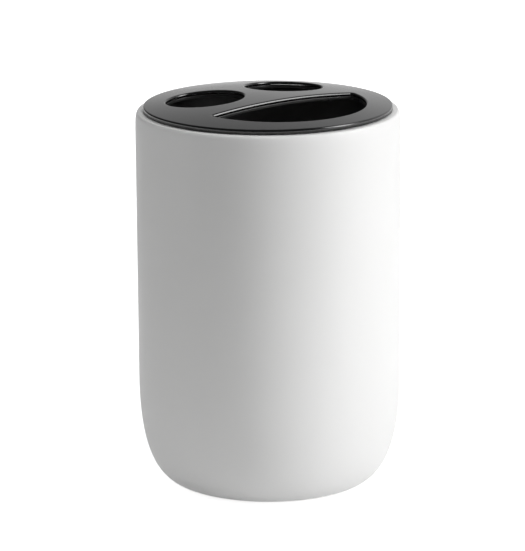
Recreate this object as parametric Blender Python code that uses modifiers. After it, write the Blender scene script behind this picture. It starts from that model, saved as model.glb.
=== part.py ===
"""Toothbrush holder: a round ceramic cup with a soft lower corner and a domed lid that lifts off.

The lid is a thin satin cover on a black insert. Two round openings and one half-moon opening go
through both, and a skirt with a soft ring under the insert centres the lid in the cup's mouth.
Metres, +Z up, standing at z = 0 on the pad under the foot, half-moon opening towards -Y.
"""
import math

import bmesh
import bpy
from mathutils import Vector
from mathutils.geometry import interpolate_bezier

# Clearance between pieces that touch or sit in each other
SEAT_GAP = 0.0003

# Cup, outside
CUP_HEIGHT = 0.1078
CUP_RADIUS = 0.0375
SIDE_DRAFT = 0.00013
CORNER_HEIGHT = 0.0306
CORNER_FOOT_HANDLE = 0.0104
CORNER_SIDE_HANDLE = 0.0155
FOOT_INSET = 0.01321
MOUTH_EDGE_HEIGHT = 0.0050
MOUTH_EDGE_WIDTH = 0.0010

# Cup, inside
MOUTH_WALL = 0.0045
MOUTH_INNER_ROUND = 0.0008
FLOOR_THICKNESS = 0.0062
INNER_CORNER_HEIGHT = 0.0240
INNER_CORNER_WIDTH = 0.0150

# Foot recess and its pad
FOOT_RING_WIDTH = 0.0034
RECESS_DEPTH = 0.0016
PAD_PROUD = 0.0004
PAD_EDGE = 0.0003

# Lid, seen from above
FLANGE_OVERLAP = 0.0023
LID_CROWN = 0.0030
WEB_WIDTH = 0.0053
HOLE_LEDGE = 0.00195
SLOT_CENTRE_OFFSET = 0.0042
SLOT_CHORD_OFFSET = 0.0068
SLOT_CORNER_RADIUS = 0.0010
SLOT_LEDGE = 0.0005

# Lid, thicknesses and the rounds on its edges
COVER_THICKNESS = 0.0005
COVER_RIM_HEIGHT = 0.0012
COVER_RIM_ROUND = 0.0004
COVER_OPENING_ROUND = 0.0003
INSERT_THICKNESS = 0.0008
INSERT_LIP = 0.0004
INSERT_EDGE = 0.00012

# Skirt of the insert, its groove and its lead-in
SKIRT_PLAY = 0.0011
SKIRT_WALL = 0.0016
SKIRT_DEPTH = 0.0150
SKIRT_LEAD_HEIGHT = 0.0016
SKIRT_LEAD_WIDTH = 0.0007
GROOVE_DROP = 0.0045
GROOVE_HEIGHT = 0.0046
GROOVE_DEPTH = 0.0007

# Soft ring in the groove
RING_WAIST_DEPTH = 0.0004
RING_LIP_HEIGHT = 0.0012
RING_LIP_ROUND = 0.0003

# Fineness of the curved faces
ROUND_STEPS = 72
HOLE_STEPS = 40
SLOT_ARC_STEPS = 34
SLOT_CORNER_STEPS = 3
RIM_STEPS = 5
OPENING_STEPS = 3
OUTER_CORNER_STEPS = 12
INNER_CORNER_STEPS = 8
EDGE_STEPS = 5
DOME_CELL = 0.0080
WELD = 0.000001
SHARP_ANGLE = math.radians(35)

# Levels that the pieces share, measured from the surface the holder stands on
foot_level = PAD_PROUD
mouth_level = foot_level + CUP_HEIGHT
flange_level = mouth_level + SEAT_GAP
cover_top = flange_level + COVER_RIM_HEIGHT
insert_top = cover_top - COVER_THICKNESS - SEAT_GAP

# Radii that the pieces share
corner_top_radius = CUP_RADIUS - SIDE_DRAFT
foot_radius = corner_top_radius - FOOT_INSET
recess_radius = foot_radius - FOOT_RING_WIDTH
mouth_radius = CUP_RADIUS - MOUTH_WALL
cover_radius = mouth_radius + FLANGE_OVERLAP
skirt_outer = mouth_radius - SKIRT_PLAY
skirt_inner = skirt_outer - SKIRT_WALL
insert_radius = skirt_outer + INSERT_LIP

# The half-moon's arc keeps a ledge to the skirt
slot_radius = skirt_inner - SLOT_LEDGE - SLOT_CENTRE_OFFSET

# Each round opening fills the corner between two webs, and keeps its own ledge to the skirt
web_side = WEB_WIDTH / 2
web_front = WEB_WIDTH - SLOT_CHORD_OFFSET
hole_limit = skirt_inner - HOLE_LEDGE
hole_sum = hole_limit + web_side + web_front
hole_radius = math.sqrt(hole_sum ** 2 + hole_limit ** 2 - web_side ** 2 - web_front ** 2) - hole_sum
hole_x = web_side + hole_radius
hole_y = web_front + hole_radius


def clear_scene():
    for old in list(bpy.data.objects):
        bpy.data.objects.remove(old, do_unlink=True)


def make_collection(name):
    group = bpy.data.collections.new(name)
    bpy.context.scene.collection.children.link(group)
    return group


def make_material(name, colour, roughness, metallic):
    material = bpy.data.materials.new(name)
    material.use_nodes = True
    shader = material.node_tree.nodes["Principled BSDF"]
    shader.inputs["Base Color"].default_value = (*colour, 1.0)
    shader.inputs["Roughness"].default_value = roughness
    shader.inputs["Metallic"].default_value = metallic
    material.diffuse_color = (*colour, 1.0)
    return material


def add_object(name, mesh, group, material=None):
    thing = bpy.data.objects.new(name, mesh)
    group.objects.link(thing)
    if material:
        mesh.materials.append(material)
    return thing


def bezier(start, start_handle, end_handle, end, steps):
    """Points of one cubic curve in the (radius, height) plane, both ends included."""
    knots = [Vector((*point, 0.0)) for point in (start, start_handle, end_handle, end)]
    return [(point.x, point.y) for point in interpolate_bezier(*knots, steps + 1)]


def quarter_round(centre, size, start_angle, steps):
    """A quarter circle that turns clockwise in the (radius, height) plane."""
    points = []
    for step in range(steps + 1):
        angle = start_angle - math.pi / 2 * step / steps
        points.append((centre[0] + size * math.cos(angle), centre[1] + size * math.sin(angle)))
    return points


def turned(name, profile, group, material, closed):
    """Solid of revolution about Z. The profile runs down the outer side, top to bottom."""
    mesh = bpy.data.meshes.new(name)
    count = len(profile)
    edges = [(index, index + 1) for index in range(count - 1)]
    if closed:
        edges.append((count - 1, 0))
    mesh.from_pydata([(radius, 0.0, height) for radius, height in profile], edges, [])
    piece = add_object(name, mesh, group, material)
    screw = piece.modifiers.new("Turn", "SCREW")
    screw.axis = "Z"
    screw.angle = math.tau
    screw.steps = ROUND_STEPS
    screw.render_steps = ROUND_STEPS
    screw.use_merge_vertices = True
    screw.merge_threshold = WELD
    screw.use_smooth_shade = True
    return piece


def join_piece(piece, other, group):
    """Boolean union that leaves the added form as a hidden guide."""
    for owner in list(other.users_collection):
        owner.objects.unlink(other)
    group.objects.link(other)
    other.hide_render = True
    other.display_type = "WIRE"
    union = piece.modifiers.new("Join " + other.name, "BOOLEAN")
    union.operation = "UNION"
    union.solver = "EXACT"
    union.object = other


def crown_rise(x, y):
    """Height of the lid's dome above its rim plane."""
    share = (x * x + y * y) / (cover_radius * cover_radius)
    return LID_CROWN * (1.0 - share)


def circle_outline(centre, radius, steps, side):
    """Points of a circle with their directions into the plate: side 1 is outwards, -1 inwards."""
    points = []
    for step in range(steps):
        angle = math.tau * step / steps
        east = math.cos(angle)
        north = math.sin(angle)
        points.append((centre[0] + radius * east, centre[1] + radius * north, side * east, side * north))
    return points


def half_moon_outline():
    """The half-moon opening: a straight chord, a wide arc and two small corners."""
    corner_y = -SLOT_CHORD_OFFSET - SLOT_CORNER_RADIUS
    reach = slot_radius - SLOT_CORNER_RADIUS
    corner_x = math.sqrt(reach * reach - (corner_y + SLOT_CENTRE_OFFSET) ** 2)
    lean = math.atan2(corner_y + SLOT_CENTRE_OFFSET, corner_x)
    right = []
    for step in range(SLOT_CORNER_STEPS + 1):
        angle = math.pi / 2 + (lean - math.pi / 2) * step / SLOT_CORNER_STEPS
        east = math.cos(angle)
        north = math.sin(angle)
        right.append((corner_x + SLOT_CORNER_RADIUS * east, corner_y + SLOT_CORNER_RADIUS * north,
                      east, north))
    arc = []
    sweep = math.pi + 2 * lean
    for step in range(1, SLOT_ARC_STEPS):
        angle = lean - sweep * step / SLOT_ARC_STEPS
        east = math.cos(angle)
        north = math.sin(angle)
        arc.append((slot_radius * east, slot_radius * north - SLOT_CENTRE_OFFSET, east, north))
    left = [(-x, y, -east, north) for x, y, east, north in reversed(right)]
    return right + arc + left


def domed_plate(name, radius, rim_profile, opening_profile, top_level, group, material):
    """A plate with the three openings, raised to the lid's dome.

    A profile runs down an edge, as steps of depth into the plate and height above its top face.
    """
    edges = [
        (circle_outline((0, 0), radius, ROUND_STEPS, -1), rim_profile),
        (circle_outline((-hole_x, hole_y), hole_radius, HOLE_STEPS, 1), opening_profile),
        (circle_outline((hole_x, hole_y), hole_radius, HOLE_STEPS, 1), opening_profile),
        (half_moon_outline(), opening_profile),
    ]
    shape = bmesh.new()
    top_border = []
    bottom_border = []
    for outline, profile in edges:
        rings = []
        for depth, height in profile:
            rings.append([shape.verts.new((x + depth * east, y + depth * north, height))
                          for x, y, east, north in outline])
        for upper, lower in zip(rings, rings[1:]):
            for index in range(len(outline)):
                shape.faces.new((upper[index - 1], upper[index], lower[index], lower[index - 1]))
        for ring, border in ((rings[0], top_border), (rings[-1], bottom_border)):
            for index in range(len(outline)):
                border.append(shape.edges.get((ring[index - 1], ring[index])))
    bmesh.ops.triangle_fill(shape, use_beauty=True, use_dissolve=False, edges=top_border)
    bmesh.ops.triangle_fill(shape, use_beauty=True, use_dissolve=False, edges=bottom_border)
    bmesh.ops.dissolve_limit(shape, angle_limit=math.radians(1), verts=shape.verts, edges=shape.edges)
    lines = int(radius / DOME_CELL)
    for normal in ((1, 0, 0), (0, 1, 0)):
        for line in range(-lines, lines + 1):
            everything = shape.verts[:] + shape.edges[:] + shape.faces[:]
            place = Vector(normal) * (line * DOME_CELL)
            bmesh.ops.bisect_plane(shape, geom=everything, dist=WELD, plane_co=place, plane_no=normal)
    for vert in shape.verts:
        vert.co.z += top_level + crown_rise(vert.co.x, vert.co.y)
    bmesh.ops.triangulate(shape, faces=shape.faces)
    bmesh.ops.recalc_face_normals(shape, faces=shape.faces)
    mesh = bpy.data.meshes.new(name)
    shape.to_mesh(mesh)
    shape.free()
    mesh.shade_smooth()
    mesh.set_sharp_from_angle(angle=SHARP_ANGLE)
    return add_object(name, mesh, group, material)


def rounded_edge(size, steps):
    """Depth and height steps of a quarter round from the top face down to the edge's side."""
    profile = []
    for step in range(steps + 1):
        angle = math.pi / 2 * step / steps
        profile.append((size * (1 - math.sin(angle)), size * (math.cos(angle) - 1)))
    return profile


def build_cup(group):
    floor_level = foot_level + RECESS_DEPTH + FLOOR_THICKNESS
    floor_radius = mouth_radius - INNER_CORNER_WIDTH
    inner_top = floor_level + INNER_CORNER_HEIGHT
    profile = [(0, floor_level)]
    profile += bezier((floor_radius, floor_level),
                      (floor_radius + INNER_CORNER_WIDTH / 2, floor_level),
                      (mouth_radius, inner_top - INNER_CORNER_HEIGHT / 2),
                      (mouth_radius, inner_top), INNER_CORNER_STEPS)
    inner_round = (mouth_radius + MOUTH_INNER_ROUND, mouth_level - MOUTH_INNER_ROUND)
    profile += quarter_round(inner_round, MOUTH_INNER_ROUND, math.pi, EDGE_STEPS - 2)
    edge_start = CUP_RADIUS - MOUTH_EDGE_WIDTH
    edge_end = mouth_level - MOUTH_EDGE_HEIGHT
    profile += bezier((edge_start, mouth_level),
                      (CUP_RADIUS - MOUTH_EDGE_WIDTH / 4, mouth_level),
                      (CUP_RADIUS, mouth_level - MOUTH_EDGE_HEIGHT / 4),
                      (CUP_RADIUS, edge_end), EDGE_STEPS)
    corner_top = foot_level + CORNER_HEIGHT
    profile += bezier((corner_top_radius, corner_top),
                      (corner_top_radius, corner_top - CORNER_SIDE_HANDLE),
                      (foot_radius + CORNER_FOOT_HANDLE, foot_level),
                      (foot_radius, foot_level), OUTER_CORNER_STEPS)
    profile += [(recess_radius, foot_level), (recess_radius, foot_level + RECESS_DEPTH)]
    profile += [(0, foot_level + RECESS_DEPTH)]
    glaze = make_material("white_glaze", (0.80, 0.80, 0.80), 0.55, 0.0)
    turned("cup_body", profile, group, glaze, closed=False)


def build_pad(group):
    pad_radius = recess_radius - SEAT_GAP
    pad_top = foot_level + RECESS_DEPTH - SEAT_GAP
    profile = [(0, pad_top), (pad_radius - PAD_EDGE, pad_top), (pad_radius, pad_top - PAD_EDGE),
               (pad_radius, PAD_EDGE), (pad_radius - PAD_EDGE, 0), (0, 0)]
    foam = make_material("grey_foam", (0.10, 0.10, 0.10), 0.85, 0.0)
    turned("foot_pad", profile, group, foam, closed=False)


def build_cover(group):
    """The satin cover: a domed sheet with rounded openings. Its rim turns down onto the mouth."""
    rim = rounded_edge(COVER_RIM_ROUND, RIM_STEPS)
    rim += [(0, -COVER_RIM_HEIGHT), (COVER_THICKNESS, -COVER_RIM_HEIGHT),
            (COVER_THICKNESS, -COVER_THICKNESS)]
    opening = rounded_edge(COVER_OPENING_ROUND, OPENING_STEPS)
    opening.append((0, -COVER_THICKNESS))
    satin = make_material("satin_black", (0.020, 0.020, 0.021), 0.30, 0.0)
    domed_plate("lid_cover", cover_radius, rim, opening, cover_top, group, satin)


def build_insert(group, guides):
    """The black insert: a plate under the cover, and the skirt that sits in the mouth."""
    edge = [(INSERT_EDGE, 0), (0, -INSERT_EDGE), (0, INSERT_EDGE - INSERT_THICKNESS),
            (INSERT_EDGE, -INSERT_THICKNESS)]
    black = make_material("deep_black", (0.010, 0.010, 0.010), 0.45, 0.0)
    insert = domed_plate("lid_insert", insert_radius, edge, edge, insert_top, group, black)

    skirt_middle = (skirt_outer + skirt_inner) / 2
    skirt_top = insert_top + crown_rise(skirt_middle, 0) - INSERT_THICKNESS / 2
    skirt_bottom = flange_level - SKIRT_DEPTH
    groove_top = flange_level - GROOVE_DROP
    groove_bottom = groove_top - GROOVE_HEIGHT
    groove_floor = skirt_outer - GROOVE_DEPTH
    skirt = turned("skirt_form", [
        (skirt_outer, skirt_top),
        (skirt_outer, groove_top),
        (groove_floor, groove_top),
        (groove_floor, groove_bottom),
        (skirt_outer, groove_bottom),
        (skirt_outer, skirt_bottom + SKIRT_LEAD_HEIGHT),
        (skirt_outer - SKIRT_LEAD_WIDTH, skirt_bottom),
        (skirt_inner, skirt_bottom),
        (skirt_inner, skirt_top),
    ], guides, None, closed=True)
    join_piece(insert, skirt, guides)
    return groove_top, groove_bottom, groove_floor


def build_ring(group, groove):
    groove_top, groove_bottom, groove_floor = groove
    inner = groove_floor + SEAT_GAP
    top = groove_top - SEAT_GAP
    bottom = groove_bottom + SEAT_GAP
    lip = mouth_radius - SEAT_GAP
    waist = lip - RING_WAIST_DEPTH
    profile = [
        (inner, top),
        (lip - RING_LIP_ROUND, top),
        (lip, top - RING_LIP_ROUND),
        (waist, top - RING_LIP_HEIGHT),
        (waist, bottom + RING_LIP_HEIGHT),
        (lip, bottom + RING_LIP_ROUND),
        (lip - RING_LIP_ROUND, bottom),
        (inner, bottom),
    ]
    silicone = make_material("dark_silicone", (0.06, 0.06, 0.06), 0.6, 0.0)
    turned("grip_ring", profile, group, silicone, closed=True)


def main():
    clear_scene()
    parts = make_collection("toothbrush_holder")
    guides = make_collection("cutters")
    build_cup(parts)
    build_pad(parts)
    groove = build_insert(parts, guides)
    build_cover(parts)
    build_ring(parts, groove)


main()
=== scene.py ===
"""Toothbrush holder: a matte ceramic cup and a domed, satin black lid with three openings.

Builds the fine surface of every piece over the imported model, their finishes, and the stage.
Metres, +Z up, half-moon opening towards -Y.
"""
import math
import bmesh
import bpy
from bpy.props import FloatProperty, FloatVectorProperty, PointerProperty
from bpy.types import Operator, Panel, PropertyGroup
from mathutils import Matrix, Vector
from mathutils.geometry import interpolate_bezier


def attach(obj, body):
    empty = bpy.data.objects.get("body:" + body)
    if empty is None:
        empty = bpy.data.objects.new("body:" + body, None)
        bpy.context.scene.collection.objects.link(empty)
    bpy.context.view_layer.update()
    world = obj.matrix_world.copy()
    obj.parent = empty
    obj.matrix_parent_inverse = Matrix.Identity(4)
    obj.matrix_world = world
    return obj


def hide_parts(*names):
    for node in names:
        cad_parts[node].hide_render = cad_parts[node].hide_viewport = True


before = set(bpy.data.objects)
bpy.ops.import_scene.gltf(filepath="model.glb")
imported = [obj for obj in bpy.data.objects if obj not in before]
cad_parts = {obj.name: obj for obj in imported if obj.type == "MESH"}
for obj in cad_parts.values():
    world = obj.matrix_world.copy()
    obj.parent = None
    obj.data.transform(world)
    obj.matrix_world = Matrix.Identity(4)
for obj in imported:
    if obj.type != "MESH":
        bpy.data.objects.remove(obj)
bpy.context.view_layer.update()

bl_info = {
    "name": "Toothbrush Holder",
    "version": (1, 0, 0),
    "blender": (4, 5, 0),
    "location": "View3D > Sidebar > Holder",
    "description": "Builds a ceramic toothbrush holder with a domed lift-off lid",
    "category": "Object",
}


# Sizes and finishes a user would change

class CupSizes(PropertyGroup):
    """Sizes of the ceramic cup and the pad under its foot."""
    height: FloatProperty(
        name="Height", description="Foot ring to mouth rim", default=0.1078, unit="LENGTH")
    radius: FloatProperty(
        name="Radius", description="Widest part of the wall", default=0.0375, unit="LENGTH")
    wall: FloatProperty(
        name="Wall", description="Wall thickness at the mouth", default=0.0045, unit="LENGTH")
    side_taper: FloatProperty(
        name="Side taper", description="How much narrower the side is above the lower corner",
        default=0.00013, unit="LENGTH")
    corner_height: FloatProperty(
        name="Corner height", description="Height of the soft lower corner",
        default=0.0306, unit="LENGTH")
    corner_foot_handle: FloatProperty(
        name="Corner foot handle", description="How far the corner follows the floor",
        default=0.0104, unit="LENGTH")
    corner_side_handle: FloatProperty(
        name="Corner side handle", description="How far the corner follows the side",
        default=0.0155, unit="LENGTH")
    foot_inset: FloatProperty(
        name="Foot inset", description="Foot ring's distance inside the side",
        default=0.01321, unit="LENGTH")
    edge_height: FloatProperty(
        name="Mouth edge height", description="Height of the eased outer edge at the mouth",
        default=0.0050, unit="LENGTH")
    edge_width: FloatProperty(
        name="Mouth edge width", description="Width of the eased outer edge at the mouth",
        default=0.0010, unit="LENGTH")
    inner_round: FloatProperty(
        name="Inner round", description="Round on the inner edge of the mouth",
        default=0.0008, unit="LENGTH")
    floor_thickness: FloatProperty(
        name="Floor", description="Thickness of the cup's floor", default=0.0062, unit="LENGTH")
    inner_corner_height: FloatProperty(
        name="Inner corner height", description="Height of the corner inside",
        default=0.0240, unit="LENGTH")
    inner_corner_width: FloatProperty(
        name="Inner corner width", description="Width of the corner inside",
        default=0.0150, unit="LENGTH")
    foot_ring_width: FloatProperty(
        name="Foot ring width", description="Width of the ring the cup was fired on",
        default=0.0034, unit="LENGTH")
    foot_round: FloatProperty(
        name="Foot round", description="Round on the foot ring's inner edge",
        default=0.0005, unit="LENGTH")
    recess_depth: FloatProperty(
        name="Recess depth", description="Depth of the recess inside the foot ring",
        default=0.0016, unit="LENGTH")
    pad_proud: FloatProperty(
        name="Pad proud", description="How far the pad stands below the foot ring",
        default=0.0004, unit="LENGTH")
    pad_edge: FloatProperty(
        name="Pad edge", description="Round on the pad's edges", default=0.0003, unit="LENGTH")
    gap: FloatProperty(
        name="Gap", description="Clearance between pieces that sit in each other",
        default=0.0003, unit="LENGTH")


class LidSizes(PropertyGroup):
    """Sizes of the lid's cover, insert, skirt and grip ring."""
    overlap: FloatProperty(
        name="Overlap", description="How far the cover reaches over the mouth's rim",
        default=0.00230, unit="LENGTH")
    crown: FloatProperty(
        name="Crown", description="Rise of the dome above the rim", default=0.0028, unit="LENGTH")
    hole_web: FloatProperty(
        name="Round openings' web", description="Width of the strip between the round openings",
        default=0.0059, unit="LENGTH")
    slot_web: FloatProperty(
        name="Half-moon's web", description="From the round openings to the half-moon",
        default=0.0065, unit="LENGTH")
    hole_ledge: FloatProperty(
        name="Round opening's ledge", description="From a round opening to the skirt",
        default=0.00147, unit="LENGTH")
    slot_centre: FloatProperty(
        name="Half-moon centre", description="Centre of the half-moon's arc, from the lid's centre",
        default=0.00387, unit="LENGTH")
    slot_chord: FloatProperty(
        name="Half-moon chord", description="Straight edge of the half-moon, from the lid's centre",
        default=0.0068, unit="LENGTH")
    slot_corner: FloatProperty(
        name="Half-moon corner", description="Radius of the half-moon's two corners",
        default=0.0010, unit="LENGTH")
    slot_ledge: FloatProperty(
        name="Half-moon's ledge", description="From the half-moon to the skirt",
        default=0.00103, unit="LENGTH")
    cover_thickness: FloatProperty(
        name="Cover thickness", description="Thickness of the satin cover",
        default=0.0005, unit="LENGTH")
    rim_height: FloatProperty(
        name="Rim height", description="Height of the cover's turned-down rim",
        default=0.0012, unit="LENGTH")
    rim_round: FloatProperty(
        name="Rim round", description="Round on the cover's outer rim",
        default=0.0004, unit="LENGTH")
    opening_round: FloatProperty(
        name="Opening round", description="Round on the top edge of each opening",
        default=0.00055, unit="LENGTH")
    opening_lip: FloatProperty(
        name="Opening lip", description="Height of the cover's turned-down lip at each opening",
        default=0.0008, unit="LENGTH")
    lip_wall: FloatProperty(
        name="Lip wall", description="Wall thickness of the lip at each opening",
        default=0.0004, unit="LENGTH")
    insert_thickness: FloatProperty(
        name="Insert thickness", description="Thickness of the insert's plate",
        default=0.0008, unit="LENGTH")
    insert_lip: FloatProperty(
        name="Insert lip", description="How far the insert's plate reaches past the skirt",
        default=0.0004, unit="LENGTH")
    insert_edge: FloatProperty(
        name="Insert edge", description="Round on the insert's edges",
        default=0.00012, unit="LENGTH")
    skirt_play: FloatProperty(
        name="Skirt play", description="Gap between the skirt and the mouth",
        default=0.0011, unit="LENGTH")
    skirt_wall: FloatProperty(
        name="Skirt wall", description="Wall thickness of the skirt",
        default=0.0016, unit="LENGTH")
    skirt_depth: FloatProperty(
        name="Skirt depth", description="Depth of the skirt below the rim",
        default=0.0150, unit="LENGTH")
    lead_height: FloatProperty(
        name="Lead-in height", description="Height of the taper at the skirt's lower edge",
        default=0.0016, unit="LENGTH")
    lead_width: FloatProperty(
        name="Lead-in width", description="Width of the taper at the skirt's lower edge",
        default=0.0007, unit="LENGTH")
    groove_drop: FloatProperty(
        name="Groove drop", description="Groove's top below the rim",
        default=0.0045, unit="LENGTH")
    groove_height: FloatProperty(
        name="Groove height", description="Height of the ring's groove",
        default=0.0046, unit="LENGTH")
    groove_depth: FloatProperty(
        name="Groove depth", description="Depth of the ring's groove",
        default=0.0007, unit="LENGTH")
    ring_waist: FloatProperty(
        name="Ring waist", description="Depth of the waist between the ring's lips",
        default=0.0004, unit="LENGTH")
    ring_lip: FloatProperty(
        name="Ring lip", description="Height of each lip of the ring",
        default=0.0012, unit="LENGTH")
    ring_round: FloatProperty(
        name="Ring round", description="Round on the ring's lips", default=0.0003, unit="LENGTH")


class FinishSettings(PropertyGroup):
    """Colours and gloss of the finishes."""
    glaze_colour: FloatVectorProperty(
        name="Glaze", description="Colour of the matte glaze", subtype="COLOR",
        default=(0.84, 0.84, 0.835), min=0.0, max=1.0)
    bisque_colour: FloatVectorProperty(
        name="Bare clay", description="Colour of the unglazed foot ring", subtype="COLOR",
        default=(0.70, 0.66, 0.60), min=0.0, max=1.0)
    cover_colour: FloatVectorProperty(
        name="Cover", description="Colour of the satin cover", subtype="COLOR",
        default=(0.0055, 0.0055, 0.0058), min=0.0, max=1.0)
    cover_roughness: FloatProperty(
        name="Cover roughness", description="Roughness of the satin cover",
        default=0.16, min=0.0, max=1.0)
    cover_ior: FloatProperty(
        name="Cover refraction", description="Index of refraction of the satin coat",
        default=1.7, min=1.0, max=2.5)
    insert_colour: FloatVectorProperty(
        name="Insert", description="Colour of the black plastic", subtype="COLOR",
        default=(0.015, 0.015, 0.015), min=0.0, max=1.0)
    # Painted shade: the skirt's black plastic is set darker than the plate's, though both are one
    # moulding, so the shaded inside of the mouth reads darker
    skirt_painted_shade_colour: FloatVectorProperty(
        name="Skirt", description="Colour of the black plastic inside the mouth", subtype="COLOR",
        default=(0.006, 0.006, 0.006), min=0.0, max=1.0)
    silicone_colour: FloatVectorProperty(
        name="Grip ring", description="Colour of the soft ring", subtype="COLOR",
        default=(0.045, 0.045, 0.045), min=0.0, max=1.0)
    foam_colour: FloatVectorProperty(
        name="Pad", description="Colour of the foot pad", subtype="COLOR",
        default=(0.085, 0.085, 0.085), min=0.0, max=1.0)


class StageSettings(PropertyGroup):
    """Camera and light of the stage."""
    azimuth: FloatProperty(
        name="Azimuth", description="Camera's turn round the holder from -Y towards +X",
        default=math.radians(-37.8), subtype="ANGLE")
    reach: FloatProperty(
        name="Reach", description="Camera's distance from the holder's axis",
        default=1.15, unit="LENGTH")
    camera_height: FloatProperty(
        name="Camera height", description="Camera's height above the floor",
        default=0.3445, unit="LENGTH")
    pitch: FloatProperty(
        name="Pitch", description="How far the camera looks down",
        default=math.radians(13.897), subtype="ANGLE")
    yaw: FloatProperty(
        name="Yaw", description="Camera's aim to the side", default=math.radians(-0.0905),
        subtype="ANGLE")
    roll: FloatProperty(
        name="Roll", description="Camera's lean", default=math.radians(-0.372), subtype="ANGLE")
    lens: FloatProperty(
        name="Lens", description="Focal length in millimetres on a 36 mm sensor",
        default=271.37)
    key_power: FloatProperty(
        name="Key power", description="Power of the lamp on the right, in watts", default=8.7)
    side_power: FloatProperty(
        name="Side power", description="Power of the lamp on the right and back, in watts",
        default=1.0)
    fill_power: FloatProperty(
        name="Fill power", description="Power of the lamp on the left, in watts", default=2.2)
    front_power: FloatProperty(
        name="Front power", description="Power of the lamp near the camera, in watts",
        default=2.5)
    top_power: FloatProperty(
        name="Top power", description="Power of the lamp overhead, in watts", default=2.3)
    back_power: FloatProperty(
        name="Back power", description="Power of the lamp behind the holder, in watts", default=2.6)
    room_light: FloatProperty(
        name="Room light", description="Light that comes from all round", default=0.0)
    room_dark: FloatProperty(
        name="Room gloss", description="Brightness that gloss shows overhead and in front",
        default=0.05)
    backdrop: FloatProperty(
        name="Backdrop gloss", description="Brightness that gloss shows behind the holder",
        default=0.81)
    floor_front: FloatProperty(
        name="Floor front", description="How far the floor reaches towards the camera",
        default=0.28, unit="LENGTH")
    floor_lift: FloatProperty(
        name="Floor lift", description="White added to the floor where it is seen", default=0.85)


# Fineness of the curved faces
ROUND_STEPS = 256
HOLE_STEPS = 160
SLOT_STEPS = 200
SLOT_CORNER_STEPS = 10
EDGE_STEPS = 10
INSERT_EDGE_STEPS = 3
CORNER_STEPS = 40
DOME_CELL = 0.0020
WELD = 0.000001
FLAT_ANGLE = math.radians(0.2)
CREASE_ANGLE = math.radians(40)
NORMAL_WEIGHT = 60
QUARTER_TURN = math.pi / 2

# Grain of each finish: scale, detail, scale of its slow drift, depth in metres and strength
GLAZE_GRAIN = (700.0, 3.0, 22.0, 0.00002, 0.25)
SATIN_GRAIN = (3200.0, 2.0, 60.0, 0.000006, 0.35)
PLASTIC_GRAIN = (2400.0, 3.0, 80.0, 0.00001, 0.4)
SILICONE_GRAIN = (1500.0, 2.0, 120.0, 0.00001, 0.3)
DRIFT_DETAIL = 2.0
DRIFT_RANGE = (0.3, 0.7)
FOAM_CELL_SCALE = 2600.0
FOAM_CELL_DEPTH = 0.00006
FOAM_CELL_STRENGTH = 0.5

# Roughness of each finish over its drift, and how its colour changes there
GLAZE_ROUGHNESS = (0.50, 0.58)
BISQUE_ROUGHNESS = 0.92
SATIN_SMOOTHER, SATIN_ROUGHER = 0.02, 0.03
PLATE_ROUGHNESS, SKIRT_ROUGHNESS, PLASTIC_ROUGHER = 0.26, 0.46, 0.08
SILICONE_ROUGHNESS = (0.55, 0.70)
FOAM_ROUGHNESS = (0.95, 0.80)
GLAZE_SHADE = 0.975
SATIN_SHADE = 1.15
PLASTIC_SHADE = 1.3
SILICONE_SHADE = 1.5
# Foam colour across each cell: painted shade, darker in the dents and lighter on the ridges between
# them
FOAM_PAINTED_DENT_SHADES = (0.6, 1.4)

# Each lamp's turn from the camera and rise in degrees, width and height, and power setting
LAMPS = (
    ("key_lamp", 72, 27, (0.40, 0.96), "key_power"),
    ("side_lamp", 93, 42, (0.20, 0.50), "side_power"),
    ("fill_lamp", -95, 30, (0.20, 0.80), "fill_power"),
    ("front_lamp", 15, 30, (0.20, 0.80), "front_power"),
    ("top_lamp", 0, 88, (0.60, 0.60), "top_power"),
    ("back_lamp", 180, 30, (0.60, 0.80), "back_power"),
)
LAMPS_IN_GLOSS = ("key_lamp", "side_lamp")
LAMP_DISTANCE = 1.1
LAMP_TARGET = (0.0, 0.0, 0.055)

# Camera, floor and room
SENSOR_WIDTH = 36.0
CLIP_NEAR, CLIP_FAR = 0.05, 50.0
FLOOR_FAR = 6.0
FLOOR_DROP = 0.00005
FLOOR_COLOUR = (0.80, 0.80, 0.80, 1.0)
FLOOR_ROUGHNESS = 0.9
WHITE = (1.0, 1.0, 1.0, 1.0)
BACKDROP_TURN, BACKDROP_RISE = math.radians(145), math.radians(-6)
BACKDROP_FADE = (0.3, 1.0)


# Levels and radii that the pieces share

def levels(cup, lid):
    """Heights above the floor and radii that more than one piece uses."""
    foot = cup.pad_proud
    mouth = foot + cup.height
    flange = mouth + cup.gap
    bore = cup.radius - cup.wall
    rim = bore + lid.overlap
    cover_top = flange + lid.rim_height
    skirt_outer = bore - lid.skirt_play
    side = cup.radius - cup.side_taper
    return {
        "foot": foot,
        "mouth": mouth,
        "flange": flange,
        "bore": bore,
        "rim": rim,
        "cover_top": cover_top,
        "insert_top": cover_top - lid.opening_lip - cup.gap,
        "insert_rim": skirt_outer + lid.insert_lip,
        "skirt_outer": skirt_outer,
        "skirt_inner": skirt_outer - lid.skirt_wall,
        "side": side,
        "foot_radius": side - cup.foot_inset,
        "recess": side - cup.foot_inset - cup.foot_ring_width,
        "groove_top": flange - lid.groove_drop,
        "groove_bottom": flange - lid.groove_drop - lid.groove_height,
        "groove_floor": skirt_outer - lid.groove_depth,
    }


# Shapes

def bezier(start, start_handle, end_handle, end, steps):
    """Points of a profile along a Bezier curve."""
    knots = [Vector((*point, 0.0)) for point in (start, start_handle, end_handle, end)]
    return [(point.x, point.y) for point in interpolate_bezier(*knots, steps + 1)]


def arc(centre, size, start, sweep, steps):
    """Points of a profile along a circle's arc."""
    points = []
    for step in range(steps + 1):
        angle = start + sweep * step / steps
        points.append((centre[0] + size * math.cos(angle), centre[1] + size * math.sin(angle)))
    return points


def link(name, mesh):
    piece = bpy.data.objects.new(name, mesh)
    bpy.context.scene.collection.objects.link(piece)
    return piece


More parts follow.
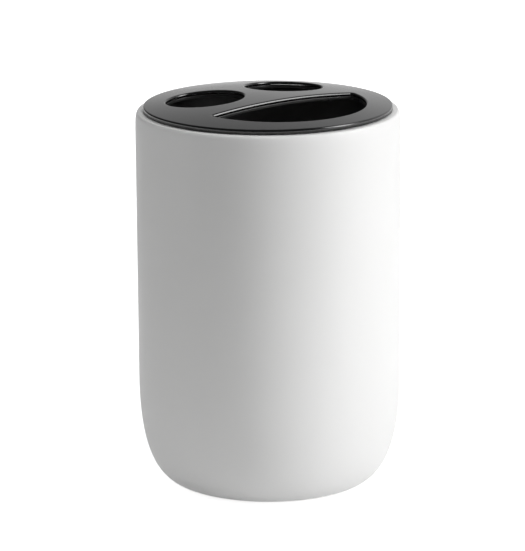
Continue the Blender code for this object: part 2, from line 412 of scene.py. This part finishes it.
def baked(source, name):
    """The evaluated shape of an object as a plain mesh, in place of the object."""
    bpy.context.view_layer.update()
    depsgraph = bpy.context.evaluated_depsgraph_get()
    mesh = bpy.data.meshes.new_from_object(source.evaluated_get(depsgraph))
    mesh.name = name
    bpy.data.objects.remove(source, do_unlink=True)
    return mesh


def cleaned(mesh):
    """Merges doubles and turns every face outwards."""
    shape = bmesh.new()
    shape.from_mesh(mesh)
    bmesh.ops.remove_doubles(shape, verts=shape.verts, dist=WELD)
    bmesh.ops.recalc_face_normals(shape, faces=shape.faces)
    shape.to_mesh(mesh)
    shape.free()
    return mesh


def turned(name, profile, closed):
    """A solid of revolution about Z from a profile that runs down its outer side."""
    mesh = bpy.data.meshes.new(name + "_profile")
    count = len(profile)
    edges = [(index, index + 1) for index in range(count - 1)]
    if closed:
        edges.append((count - 1, 0))
    mesh.from_pydata([(radius, 0.0, height) for radius, height in profile], edges, [])
    source = link(name + "_profile", mesh)
    screw = source.modifiers.new("Turn", "SCREW")
    screw.axis = "Z"
    screw.angle = math.tau
    screw.steps = ROUND_STEPS
    screw.render_steps = ROUND_STEPS
    screw.use_merge_vertices = True
    screw.merge_threshold = WELD
    solid = cleaned(baked(source, name))
    solid.shade_smooth()
    solid.set_sharp_from_angle(angle=CREASE_ANGLE)
    return link(name, solid)


def circle(centre, radius, steps, side):
    """Points of a circle with their directions into the plate: side 1 outwards, -1 inwards."""
    points = []
    for step in range(steps):
        angle = math.tau * step / steps
        east, north = math.cos(angle), math.sin(angle)
        points.append((centre[0] + radius * east, centre[1] + radius * north,
                       side * east, side * north))
    return points


def half_moon(lid, radius):
    """Outline of the half-moon: a straight chord, a wide arc and two small corners."""
    corner = lid.slot_corner
    corner_y = -lid.slot_chord - corner
    reach = radius - corner
    corner_x = math.sqrt(reach * reach - (corner_y + lid.slot_centre) ** 2)
    lean = math.atan2(corner_y + lid.slot_centre, corner_x)
    right = []
    for step in range(SLOT_CORNER_STEPS + 1):
        angle = QUARTER_TURN + (lean - QUARTER_TURN) * step / SLOT_CORNER_STEPS
        east, north = math.cos(angle), math.sin(angle)
        right.append((corner_x + corner * east, corner_y + corner * north, east, north))
    outer = []
    for step in range(1, SLOT_STEPS):
        angle = lean - (math.pi + 2 * lean) * step / SLOT_STEPS
        east, north = math.cos(angle), math.sin(angle)
        outer.append((radius * east, radius * north - lid.slot_centre, east, north))
    left = [(-x, y, -east, north) for x, y, east, north in reversed(right)]
    return right + outer + left


def openings(lid, at):
    """Outlines of the two round openings and the half-moon."""
    side = lid.hole_web / 2
    front = lid.slot_web - lid.slot_chord
    limit = at["skirt_inner"] - lid.hole_ledge
    total = limit + side + front
    radius = math.sqrt(total ** 2 + limit ** 2 - side ** 2 - front ** 2) - total
    place = (side + radius, front + radius)
    slot_radius = at["skirt_inner"] - lid.slot_ledge - lid.slot_centre
    return [circle((-place[0], place[1]), radius, HOLE_STEPS, 1),
            circle(place, radius, HOLE_STEPS, 1),
            half_moon(lid, slot_radius)]


def math_node(tree, operation):
    node = tree.nodes.new("ShaderNodeMath")
    node.operation = operation
    return node


def dome_tree():
    """Geometry nodes that raise a flat plate to a dome that falls with the square of radius."""
    tree = bpy.data.node_groups.new("Raise to dome", "GeometryNodeTree")
    face = tree.interface
    face.new_socket("Geometry", in_out="INPUT", socket_type="NodeSocketGeometry")
    for label in ("Crown", "Rim radius", "Level"):
        face.new_socket(label, in_out="INPUT", socket_type="NodeSocketFloat")
    face.new_socket("Finish", in_out="INPUT", socket_type="NodeSocketMaterial")
    face.new_socket("Geometry", in_out="OUTPUT", socket_type="NodeSocketGeometry")
    nodes, links = tree.nodes, tree.links
    entry = nodes.new("NodeGroupInput")
    leave = nodes.new("NodeGroupOutput")
    position = nodes.new("GeometryNodeInputPosition")
    flat = nodes.new("ShaderNodeVectorMath")
    flat.operation = "MULTIPLY"
    flat.inputs[1].default_value = (1.0, 1.0, 0.0)
    length = nodes.new("ShaderNodeVectorMath")
    length.operation = "LENGTH"
    share = math_node(tree, "DIVIDE")
    square = math_node(tree, "MULTIPLY")
    fall = math_node(tree, "SUBTRACT")
    fall.inputs[0].default_value = 1.0
    rise = math_node(tree, "MULTIPLY_ADD")
    offset = nodes.new("ShaderNodeCombineXYZ")
    move = nodes.new("GeometryNodeSetPosition")
    realize = nodes.new("GeometryNodeRealizeInstances")
    finish = nodes.new("GeometryNodeSetMaterial")
    links.new(position.outputs[0], flat.inputs[0])
    links.new(flat.outputs[0], length.inputs[0])
    links.new(length.outputs["Value"], share.inputs[0])
    links.new(entry.outputs["Rim radius"], share.inputs[1])
    links.new(share.outputs[0], square.inputs[0])
    links.new(share.outputs[0], square.inputs[1])
    links.new(square.outputs[0], fall.inputs[1])
    links.new(fall.outputs[0], rise.inputs[0])
    links.new(entry.outputs["Crown"], rise.inputs[1])
    links.new(entry.outputs["Level"], rise.inputs[2])
    links.new(rise.outputs[0], offset.inputs["Z"])
    links.new(entry.outputs["Geometry"], move.inputs["Geometry"])
    links.new(offset.outputs[0], move.inputs["Offset"])
    links.new(move.outputs[0], realize.inputs[0])
    links.new(realize.outputs[0], finish.inputs["Geometry"])
    links.new(entry.outputs["Finish"], finish.inputs["Material"])
    links.new(finish.outputs[0], leave.inputs[0])
    return tree


def run_tree(source, tree, values):
    """Adds a geometry nodes modifier and sets its inputs by their sockets' identifiers."""
    modifier = source.modifiers.new(tree.name, "NODES")
    modifier.node_group = tree
    for item in tree.interface.items_tree:
        if item.item_type == "SOCKET" and item.in_out == "INPUT" and item.name in values:
            modifier[item.identifier] = values[item.name]


def rounded(size, steps):
    """Depth and height steps of a quarter round from a plate's top face down to its side."""
    return [(size * (1.0 - math.sin(QUARTER_TURN * step / steps)),
             size * (math.cos(QUARTER_TURN * step / steps) - 1.0)) for step in range(steps + 1)]


def domed_plate(name, edges, level, crown, rim_radius, finish):
    """A plate raised to the lid's dome. Each edge is an outline and the profile down its side."""
    shape = bmesh.new()
    borders = ([], [])
    for outline, profile in edges:
        rings = []
        for depth, height in profile:
            rings.append([shape.verts.new((x + depth * east, y + depth * north, height))
                          for x, y, east, north in outline])
        for upper, lower in zip(rings, rings[1:]):
            for index in range(len(outline)):
                shape.faces.new((upper[index - 1], upper[index], lower[index], lower[index - 1]))
        for ring, border in zip((rings[0], rings[-1]), borders):
            for index in range(len(outline)):
                border.append(shape.edges.get((ring[index - 1], ring[index])))
    for border in borders:
        bmesh.ops.triangle_fill(shape, use_beauty=True, use_dissolve=False, edges=border)
    bmesh.ops.dissolve_limit(shape, angle_limit=FLAT_ANGLE, verts=shape.verts,
                             edges=shape.edges)
    lines = int(rim_radius / DOME_CELL)
    for normal in ((1.0, 0.0, 0.0), (0.0, 1.0, 0.0)):
        for line in range(-lines, lines + 1):
            everything = shape.verts[:] + shape.edges[:] + shape.faces[:]
            place = Vector(normal) * (line * DOME_CELL)
            bmesh.ops.bisect_plane(shape, geom=everything, dist=WELD, plane_co=place,
                                   plane_no=normal)
    bmesh.ops.triangulate(shape, faces=shape.faces)
    bmesh.ops.recalc_face_normals(shape, faces=shape.faces)
    flat = bpy.data.meshes.new(name + "_flat")
    shape.to_mesh(flat)
    shape.free()
    flat.shade_smooth()
    source = link(name + "_flat", flat)
    run_tree(source, dome_tree(), {
        "Crown": crown, "Rim radius": rim_radius, "Level": level, "Finish": finish,
    })
    weighted = source.modifiers.new("Even light", "WEIGHTED_NORMAL")
    weighted.mode = "FACE_AREA"
    weighted.weight = NORMAL_WEIGHT
    return link(name, baked(source, name))


# Finishes

def new_material(name):
    """A material with its node tree, its shader and its texture coordinates."""
    material = bpy.data.materials.new(name)
    material.use_nodes = True
    tree = material.node_tree
    shader = tree.nodes["Principled BSDF"]
    place = tree.nodes.new("ShaderNodeTexCoord")
    return material, tree, shader, place


def grain_group():
    """Shared shader group: fine grain as a height, and a slow unevenness as a mask."""
    name = "Surface grain"
    if name in bpy.data.node_groups:
        return bpy.data.node_groups[name]
    tree = bpy.data.node_groups.new(name, "ShaderNodeTree")
    face = tree.interface
    face.new_socket("Place", in_out="INPUT", socket_type="NodeSocketVector")
    for label, value in (("Grain scale", 1000.0), ("Grain detail", 3.0), ("Drift scale", 30.0)):
        socket = face.new_socket(label, in_out="INPUT", socket_type="NodeSocketFloat")
        socket.default_value = value
    face.new_socket("Height", in_out="OUTPUT", socket_type="NodeSocketFloat")
    face.new_socket("Drift", in_out="OUTPUT", socket_type="NodeSocketFloat")
    entry = tree.nodes.new("NodeGroupInput")
    leave = tree.nodes.new("NodeGroupOutput")
    fine = tree.nodes.new("ShaderNodeTexNoise")
    slow = tree.nodes.new("ShaderNodeTexNoise")
    slow.inputs["Detail"].default_value = DRIFT_DETAIL
    spread = tree.nodes.new("ShaderNodeMapRange")
    spread.inputs["From Min"].default_value = DRIFT_RANGE[0]
    spread.inputs["From Max"].default_value = DRIFT_RANGE[1]
    tree.links.new(entry.outputs["Place"], fine.inputs["Vector"])
    tree.links.new(entry.outputs["Grain scale"], fine.inputs["Scale"])
    tree.links.new(entry.outputs["Grain detail"], fine.inputs["Detail"])
    tree.links.new(entry.outputs["Place"], slow.inputs["Vector"])
    tree.links.new(entry.outputs["Drift scale"], slow.inputs["Scale"])
    tree.links.new(slow.outputs["Fac"], spread.inputs["Value"])
    tree.links.new(fine.outputs["Fac"], leave.inputs["Height"])
    tree.links.new(spread.outputs["Result"], leave.inputs["Drift"])
    return tree


def add_grain(tree, place, shader, scale, detail, drift, distance, strength):
    """Feeds the shader's normal with grain, and returns the group for its slow unevenness."""
    grain = tree.nodes.new("ShaderNodeGroup")
    grain.node_tree = grain_group()
    grain.inputs["Grain scale"].default_value = scale
    grain.inputs["Grain detail"].default_value = detail
    grain.inputs["Drift scale"].default_value = drift
    bump = tree.nodes.new("ShaderNodeBump")
    bump.inputs["Distance"].default_value = distance
    bump.inputs["Strength"].default_value = strength
    tree.links.new(place.outputs["Object"], grain.inputs["Place"])
    tree.links.new(grain.outputs["Height"], bump.inputs["Height"])
    tree.links.new(bump.outputs["Normal"], shader.inputs["Normal"])
    return grain


def ranged(tree, source, low, high):
    """Maps a 0 to 1 mask to a range of values."""
    spread = tree.nodes.new("ShaderNodeMapRange")
    spread.inputs["To Min"].default_value = low
    spread.inputs["To Max"].default_value = high
    tree.links.new(source, spread.inputs["Value"])
    return spread.outputs["Result"]


def mixed(tree, factor, first, second):
    """Blends two colours, each a plain value or a socket."""
    mix = tree.nodes.new("ShaderNodeMix")
    mix.data_type = "RGBA"
    tree.links.new(factor, mix.inputs["Factor"])
    for slot, colour in ((6, first), (7, second)):
        if isinstance(colour, bpy.types.NodeSocket):
            tree.links.new(colour, mix.inputs[slot])
        else:
            mix.inputs[slot].default_value = (*colour, 1.0)
    return mix.outputs[2]


def shaded(colour, share):
    """A colour made darker or lighter by a share."""
    return tuple(channel * share for channel in colour)


def glaze_finish(finish, cup):
    """Matte white glaze with a faint unevenness, bare clay on the foot ring."""
    material, tree, shader, place = new_material("matte_glaze")
    grain = add_grain(tree, place, shader, *GLAZE_GRAIN)
    apart = tree.nodes.new("ShaderNodeSeparateXYZ")
    tree.links.new(place.outputs["Object"], apart.inputs[0])
    bare = tree.nodes.new("ShaderNodeMapRange")
    bare.interpolation_type = "SMOOTHSTEP"
    bare.inputs["From Min"].default_value = cup.pad_proud + cup.foot_round
    bare.inputs["From Max"].default_value = cup.pad_proud
    tree.links.new(apart.outputs["Z"], bare.inputs["Value"])
    glaze = mixed(tree, grain.outputs["Drift"], finish.glaze_colour,
                  shaded(finish.glaze_colour, GLAZE_SHADE))
    colour = mixed(tree, bare.outputs["Result"], glaze, finish.bisque_colour)
    tree.links.new(colour, shader.inputs["Base Color"])
    rough = math_node(tree, "MAXIMUM")
    tree.links.new(ranged(tree, grain.outputs["Drift"], *GLAZE_ROUGHNESS), rough.inputs[0])
    tree.links.new(ranged(tree, bare.outputs["Result"], 0.0, BISQUE_ROUGHNESS), rough.inputs[1])
    tree.links.new(rough.outputs[0], shader.inputs["Roughness"])
    return material


def satin_finish(finish):
    """Satin black coat of the cover: a very fine grain and faint handling marks in its gloss."""
    material, tree, shader, place = new_material("satin_black")
    shader.inputs["IOR"].default_value = finish.cover_ior
    grain = add_grain(tree, place, shader, *SATIN_GRAIN)
    colour = mixed(tree, grain.outputs["Drift"], finish.cover_colour,
                   shaded(finish.cover_colour, SATIN_SHADE))
    tree.links.new(colour, shader.inputs["Base Color"])
    rough = ranged(tree, grain.outputs["Drift"], finish.cover_roughness - SATIN_SMOOTHER,
                   finish.cover_roughness + SATIN_ROUGHER)
    tree.links.new(rough, shader.inputs["Roughness"])
    return material


def plastic_finish(name, base, smooth):
    """Deep black moulded plastic with a fine spark texture."""
    material, tree, shader, place = new_material(name)
    grain = add_grain(tree, place, shader, *PLASTIC_GRAIN)
    colour = mixed(tree, grain.outputs["Drift"], base, shaded(base, PLASTIC_SHADE))
    tree.links.new(colour, shader.inputs["Base Color"])
    rough = ranged(tree, grain.outputs["Drift"], smooth, smooth + PLASTIC_ROUGHER)
    tree.links.new(rough, shader.inputs["Roughness"])
    return material


def silicone_finish(finish):
    """Soft dark silicone with a dusty sheen."""
    material, tree, shader, place = new_material("soft_silicone")
    grain = add_grain(tree, place, shader, *SILICONE_GRAIN)
    colour = mixed(tree, grain.outputs["Drift"], finish.silicone_colour,
                   shaded(finish.silicone_colour, SILICONE_SHADE))
    tree.links.new(colour, shader.inputs["Base Color"])
    rough = ranged(tree, grain.outputs["Drift"], *SILICONE_ROUGHNESS)
    tree.links.new(rough, shader.inputs["Roughness"])
    return material


def foam_finish(finish):
    """Closed-cell foam: small cells as dents, with painted shade darkening each dent and lightening
    the ridges between.
    """
    material, tree, shader, place = new_material("closed_cell_foam")
    cells = tree.nodes.new("ShaderNodeTexVoronoi")
    cells.inputs["Scale"].default_value = FOAM_CELL_SCALE
    bump = tree.nodes.new("ShaderNodeBump")
    bump.inputs["Distance"].default_value = FOAM_CELL_DEPTH
    bump.inputs["Strength"].default_value = FOAM_CELL_STRENGTH
    tree.links.new(place.outputs["Object"], cells.inputs["Vector"])
    tree.links.new(cells.outputs["Distance"], bump.inputs["Height"])
    tree.links.new(bump.outputs["Normal"], shader.inputs["Normal"])
    # Painted shade: the colour follows the dents' depth, darkest at the bottom of each dent
    dark, light = (shaded(finish.foam_colour, share) for share in FOAM_PAINTED_DENT_SHADES)
    colour = mixed(tree, cells.outputs["Distance"], dark, light)
    tree.links.new(colour, shader.inputs["Base Color"])
    rough = ranged(tree, cells.outputs["Distance"], *FOAM_ROUGHNESS)
    tree.links.new(rough, shader.inputs["Roughness"])
    return material


def settle(piece, body, node, material=None):
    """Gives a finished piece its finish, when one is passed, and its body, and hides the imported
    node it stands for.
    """
    if material:
        piece.data.materials.clear()
        piece.data.materials.append(material)
    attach(piece, body)
    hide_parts(node)


# Operators, one for each piece or group of like pieces

class HOLDER_OT_cup(Operator):
    """Turn the ceramic cup from its profile"""
    bl_idname = "holder.cup"
    bl_label = "Cup"

    def execute(self, context):
        cup = context.scene.holder_cup
        at = levels(cup, context.scene.holder_lid)
        ceiling = at["foot"] + cup.recess_depth
        floor = ceiling + cup.floor_thickness
        floor_radius = at["bore"] - cup.inner_corner_width
        inner_top = floor + cup.inner_corner_height
        profile = [(0.0, floor)]
        profile += bezier((floor_radius, floor),
                          (floor_radius + cup.inner_corner_width / 2, floor),
                          (at["bore"], inner_top - cup.inner_corner_height / 2),
                          (at["bore"], inner_top), CORNER_STEPS)
        profile += arc((at["bore"] + cup.inner_round, at["mouth"] - cup.inner_round),
                       cup.inner_round, math.pi, -QUARTER_TURN, EDGE_STEPS)
        profile += bezier((cup.radius - cup.edge_width, at["mouth"]),
                          (cup.radius - cup.edge_width / 4, at["mouth"]),
                          (cup.radius, at["mouth"] - cup.edge_height / 4),
                          (cup.radius, at["mouth"] - cup.edge_height), EDGE_STEPS * 2)
        corner_top = at["foot"] + cup.corner_height
        profile += bezier((at["side"], corner_top),
                          (at["side"], corner_top - cup.corner_side_handle),
                          (at["foot_radius"] + cup.corner_foot_handle, at["foot"]),
                          (at["foot_radius"], at["foot"]), CORNER_STEPS)
        profile += arc((at["recess"] + cup.foot_round, at["foot"] + cup.foot_round),
                       cup.foot_round, -QUARTER_TURN, -QUARTER_TURN, EDGE_STEPS)
        profile += [(at["recess"], ceiling), (0.0, ceiling)]
        shell = turned("cup_shell", profile, closed=False)
        settle(shell, "cup", "cup_body",
               glaze_finish(context.scene.holder_finish, cup))
        return {"FINISHED"}


class HOLDER_OT_pad(Operator):
    """Turn the non-slip pad that sits in the foot's recess"""
    bl_idname = "holder.pad"
    bl_label = "Foot pad"

    def execute(self, context):
        cup = context.scene.holder_cup
        at = levels(cup, context.scene.holder_lid)
        radius = at["recess"] - cup.gap
        top = at["foot"] + cup.recess_depth - cup.gap
        edge = cup.pad_edge
        profile = [(0.0, top)]
        profile += arc((radius - edge, top - edge), edge, QUARTER_TURN, -QUARTER_TURN, EDGE_STEPS)
        profile += arc((radius - edge, edge), edge, 0.0, -QUARTER_TURN, EDGE_STEPS)
        profile += [(0.0, 0.0)]
        pad = turned("pad_disc", profile, closed=False)
        settle(pad, "cup", "foot_pad", foam_finish(context.scene.holder_finish))
        return {"FINISHED"}


class HOLDER_OT_cover(Operator):
    """Shape the lid's domed satin cover with its three openings"""
    bl_idname = "holder.cover"
    bl_label = "Lid cover"

    def execute(self, context):
        cup = context.scene.holder_cup
        lid = context.scene.holder_lid
        at = levels(cup, lid)
        finish = satin_finish(context.scene.holder_finish)
        sheet = lid.cover_thickness
        foot = -lid.rim_height
        rim = rounded(lid.rim_round, EDGE_STEPS) + [(0.0, foot), (sheet, foot), (sheet, -sheet)]
        wall, lip = lid.lip_wall, -lid.opening_lip
        opening = rounded(lid.opening_round, EDGE_STEPS)
        opening += [(0.0, lip), (wall, lip), (lid.opening_round, -sheet)]
        edges = [(circle((0.0, 0.0), at["rim"], ROUND_STEPS, -1), rim)]
        edges += [(outline, opening) for outline in openings(lid, at)]
        cover = domed_plate("cover_plate", edges, at["cover_top"], lid.crown, at["rim"], finish)
        settle(cover, "lid", "lid_cover")
        return {"FINISHED"}


class HOLDER_OT_insert(Operator):
    """Mould the lid's insert: its plate under the cover, and the skirt with the ring's groove"""
    bl_idname = "holder.insert"
    bl_label = "Lid insert"

    def execute(self, context):
        cup = context.scene.holder_cup
        lid = context.scene.holder_lid
        at = levels(cup, lid)
        settings = context.scene.holder_finish
        finish = plastic_finish("moulded_black_plate", settings.insert_colour, PLATE_ROUGHNESS)
        thick = lid.insert_thickness
        edge = rounded(lid.insert_edge, INSERT_EDGE_STEPS)
        edge += [(depth, -thick - height) for depth, height in reversed(edge)]
        edges = [(circle((0.0, 0.0), at["insert_rim"], ROUND_STEPS, -1), edge)]
        edges += [(outline, edge) for outline in openings(lid, at)]
        plate = domed_plate("insert_plate", edges, at["insert_top"], lid.crown, at["rim"], finish)
        settle(plate, "lid", "lid_insert")

        outer, inner = at["skirt_outer"], at["skirt_inner"]
        middle = (outer + inner) / 2
        rise = lid.crown * (1.0 - (middle / at["rim"]) ** 2)
        top = at["insert_top"] + rise - thick / 2
        bottom = at["flange"] - lid.skirt_depth
        skirt = turned("insert_skirt", [
            (outer, top),
            (outer, at["groove_top"]),
            (at["groove_floor"], at["groove_top"]),
            (at["groove_floor"], at["groove_bottom"]),
            (outer, at["groove_bottom"]),
            (outer, bottom + lid.lead_height),
            (outer - lid.lead_width, bottom),
            (inner, bottom),
            (inner, top),
        ], closed=True)
        # The skirt's darker copy of the plate's black plastic is painted shade inside the mouth
        settle(skirt, "lid", "lid_insert",
               plastic_finish("moulded_black_skirt", settings.skirt_painted_shade_colour, SKIRT_ROUGHNESS))
        return {"FINISHED"}


class HOLDER_OT_ring(Operator):
    """Turn the soft grip ring in the skirt's groove"""
    bl_idname = "holder.ring"
    bl_label = "Grip ring"

    def execute(self, context):
        cup = context.scene.holder_cup
        lid = context.scene.holder_lid
        at = levels(cup, lid)
        inner = at["groove_floor"] + cup.gap
        top = at["groove_top"] - cup.gap
        bottom = at["groove_bottom"] + cup.gap
        lip = at["bore"] - cup.gap
        waist = lip - lid.ring_waist
        edge = lid.ring_round
        profile = [(inner, top)]
        profile += arc((lip - edge, top - edge), edge, QUARTER_TURN, -QUARTER_TURN, EDGE_STEPS)
        profile += bezier((lip, top - edge * 2), (lip, top - lid.ring_lip),
                          (waist, top - edge * 2), (waist, top - lid.ring_lip), EDGE_STEPS)
        profile += bezier((waist, bottom + lid.ring_lip), (waist, bottom + edge * 2),
                          (lip, bottom + lid.ring_lip), (lip, bottom + edge * 2), EDGE_STEPS)
        profile += arc((lip - edge, bottom + edge), edge, 0.0, -QUARTER_TURN, EDGE_STEPS)
        profile += [(inner, bottom)]
        ring = turned("grip_ring_soft", profile, closed=True)
        settle(ring, "ring", "grip_ring",
               silicone_finish(context.scene.holder_finish))
        return {"FINISHED"}


def polar(azimuth, elevation, distance):
    """A point round the holder: azimuth from -Y towards +X, elevation above the floor."""
    flat = distance * math.cos(elevation)
    return Vector((flat * math.sin(azimuth), -flat * math.cos(azimuth),
                   distance * math.sin(elevation)))


def area_lamp(name, place, size, power):
    """A soft rectangular lamp that points at the holder."""
    light = bpy.data.lights.new(name, "AREA")
    light.shape = "RECTANGLE"
    light.size, light.size_y = size
    light.energy = power
    lamp = bpy.data.objects.new(name, light)
    lamp.location = place
    lamp.rotation_euler = (Vector(LAMP_TARGET) - place).to_track_quat("-Z", "Y").to_euler()
    bpy.context.scene.collection.objects.link(lamp)
    return lamp


def seen_rays(tree):
    """1 for camera, glossy and transmission rays, so the floor looks white where it is seen."""
    path = tree.nodes.new("ShaderNodeLightPath")
    value = path.outputs["Is Camera Ray"]
    for label in ("Is Glossy Ray", "Is Transmission Ray"):
        highest = math_node(tree, "MAXIMUM")
        tree.links.new(value, highest.inputs[0])
        tree.links.new(path.outputs[label], highest.inputs[1])
        value = highest.outputs[0]
    return value


class HOLDER_OT_stage(Operator):
    """Set the pale floor, the soft studio light and the camera at the photograph's angle"""
    bl_idname = "holder.stage"
    bl_label = "Stage"

    def execute(self, context):
        scene = context.scene
        stage = scene.holder_stage
        self.add_camera(scene, stage)
        self.add_floor(stage)
        self.add_room(scene, stage)
        for name, turn, rise, size, power in LAMPS:
            place = polar(stage.azimuth + math.radians(turn), math.radians(rise), LAMP_DISTANCE)
            lamp = area_lamp(name, place, size, getattr(stage, power))
            lamp.visible_glossy = name in LAMPS_IN_GLOSS
        scene.view_settings.view_transform = "Standard"
        return {"FINISHED"}

    def add_camera(self, scene, stage):
        """The camera, aimed by its pitch, yaw and roll in the stage's turned axes."""
        data = bpy.data.cameras.new("photo_camera")
        data.sensor_width = SENSOR_WIDTH
        data.sensor_fit = "AUTO"
        data.lens = stage.lens
        data.clip_start = CLIP_NEAR
        data.clip_end = CLIP_FAR
        camera = bpy.data.objects.new("photo_camera", data)
        scene.collection.objects.link(camera)
        turn = Matrix.Rotation(stage.azimuth, 3, "Z")
        yaw, pitch, roll = stage.yaw, stage.pitch, stage.roll
        ahead = turn @ Vector((math.sin(yaw) * math.cos(pitch), math.cos(yaw) * math.cos(pitch),
                               -math.sin(pitch)))
        right = turn @ Vector((math.cos(yaw), -math.sin(yaw), 0.0))
        up = right.cross(ahead)
        right_rolled = right * math.cos(roll) + up * math.sin(roll)
        up_rolled = up * math.cos(roll) - right * math.sin(roll)
        place = turn @ Vector((0.0, -stage.reach, stage.camera_height))
        pose = Matrix((right_rolled, up_rolled, -ahead)).transposed().to_4x4()
        pose.translation = place
        camera.matrix_world = pose
        scene.camera = camera

    def add_floor(self, stage):
        """A pale floor a hair below the foot pad, whose flat face it would otherwise share."""
        turn = Matrix.Rotation(stage.azimuth, 3, "Z")
        front, far = -stage.floor_front, FLOOR_FAR
        corners = ((-far, front), (far, front), (far, far), (-far, far))
        mesh = bpy.data.meshes.new("floor")
        mesh.from_pydata([turn @ Vector((x, y, -FLOOR_DROP)) for x, y in corners], [],
                         [(0, 1, 2, 3)])
        floor = link("floor", mesh)
        material, tree, shader, _ = new_material("floor_white")
        shader.inputs["Base Color"].default_value = FLOOR_COLOUR
        shader.inputs["Roughness"].default_value = FLOOR_ROUGHNESS
        shader.inputs["Specular IOR Level"].default_value = 0.0
        shader.inputs["Emission Color"].default_value = WHITE
        lift = math_node(tree, "MULTIPLY")
        lift.inputs[1].default_value = stage.floor_lift
        tree.links.new(seen_rays(tree), lift.inputs[0])
        tree.links.new(lift.outputs[0], shader.inputs["Emission Strength"])
        mesh.materials.append(material)

    def add_room(self, scene, stage):
        """White where it is seen, and for gloss a white backdrop that darkens overhead."""
        world = bpy.data.worlds.new("studio")
        world.use_nodes = True
        scene.world = world
        tree = world.node_tree
        tree.nodes.clear()
        out = tree.nodes.new("ShaderNodeOutputWorld")
        light = tree.nodes.new("ShaderNodeBackground")
        light.inputs["Strength"].default_value = stage.room_light
        gloss = tree.nodes.new("ShaderNodeBackground")
        white = tree.nodes.new("ShaderNodeBackground")
        place = tree.nodes.new("ShaderNodeTexCoord")
        facing = tree.nodes.new("ShaderNodeVectorMath")
        facing.operation = "DOT_PRODUCT"
        facing.inputs[1].default_value = polar(stage.azimuth + BACKDROP_TURN, BACKDROP_RISE, 1.0)
        fade = tree.nodes.new("ShaderNodeMapRange")
        fade.interpolation_type = "SMOOTHSTEP"
        fade.inputs["From Min"].default_value = BACKDROP_FADE[0]
        fade.inputs["From Max"].default_value = BACKDROP_FADE[1]
        fade.inputs["To Min"].default_value = stage.room_dark
        fade.inputs["To Max"].default_value = stage.backdrop
        tree.links.new(place.outputs["Generated"], facing.inputs[0])
        tree.links.new(facing.outputs["Value"], fade.inputs["Value"])
        tree.links.new(fade.outputs["Result"], gloss.inputs["Strength"])
        path = tree.nodes.new("ShaderNodeLightPath")
        first = tree.nodes.new("ShaderNodeMixShader")
        second = tree.nodes.new("ShaderNodeMixShader")
        clear = math_node(tree, "MAXIMUM")
        tree.links.new(path.outputs["Is Camera Ray"], clear.inputs[0])
        tree.links.new(path.outputs["Is Transmission Ray"], clear.inputs[1])
        tree.links.new(path.outputs["Is Glossy Ray"], first.inputs[0])
        tree.links.new(light.outputs[0], first.inputs[1])
        tree.links.new(gloss.outputs[0], first.inputs[2])
        tree.links.new(clear.outputs[0], second.inputs[0])
        tree.links.new(first.outputs[0], second.inputs[1])
        tree.links.new(white.outputs[0], second.inputs[2])
        tree.links.new(second.outputs[0], out.inputs["Surface"])
        for node in (light, gloss, white):
            node.inputs["Color"].default_value = WHITE


class HOLDER_PT_panel(Panel):
    """Lists the holder's pieces and their sizes"""
    bl_idname = "HOLDER_PT_panel"
    bl_label = "Toothbrush Holder"
    bl_space_type = "VIEW_3D"
    bl_region_type = "UI"
    bl_category = "Holder"

    def draw(self, context):
        layout = self.layout
        for operator in OPERATORS:
            layout.operator(operator.bl_idname)
        for group in (context.scene.holder_cup, context.scene.holder_lid,
                      context.scene.holder_finish, context.scene.holder_stage):
            box = layout.box()
            for name in group.__annotations__:
                box.prop(group, name)


OPERATORS = (HOLDER_OT_stage, HOLDER_OT_cup, HOLDER_OT_pad, HOLDER_OT_cover, HOLDER_OT_insert,
             HOLDER_OT_ring)
GROUPS = {"holder_cup": CupSizes, "holder_lid": LidSizes, "holder_finish": FinishSettings,
          "holder_stage": StageSettings}


def register():
    for cls in (*GROUPS.values(), *OPERATORS, HOLDER_PT_panel):
        bpy.utils.register_class(cls)
    for name, cls in GROUPS.items():
        setattr(bpy.types.Scene, name, PointerProperty(type=cls))


def unregister():
    for name in GROUPS:
        delattr(bpy.types.Scene, name)
    for cls in (HOLDER_PT_panel, *reversed(OPERATORS), *GROUPS.values()):
        bpy.utils.unregister_class(cls)


def main():
    register()
    bpy.ops.holder.stage()
    bpy.ops.holder.cup()
    bpy.ops.holder.pad()
    bpy.ops.holder.cover()
    bpy.ops.holder.insert()
    bpy.ops.holder.ring()


if __name__ == "__main__":
    main()
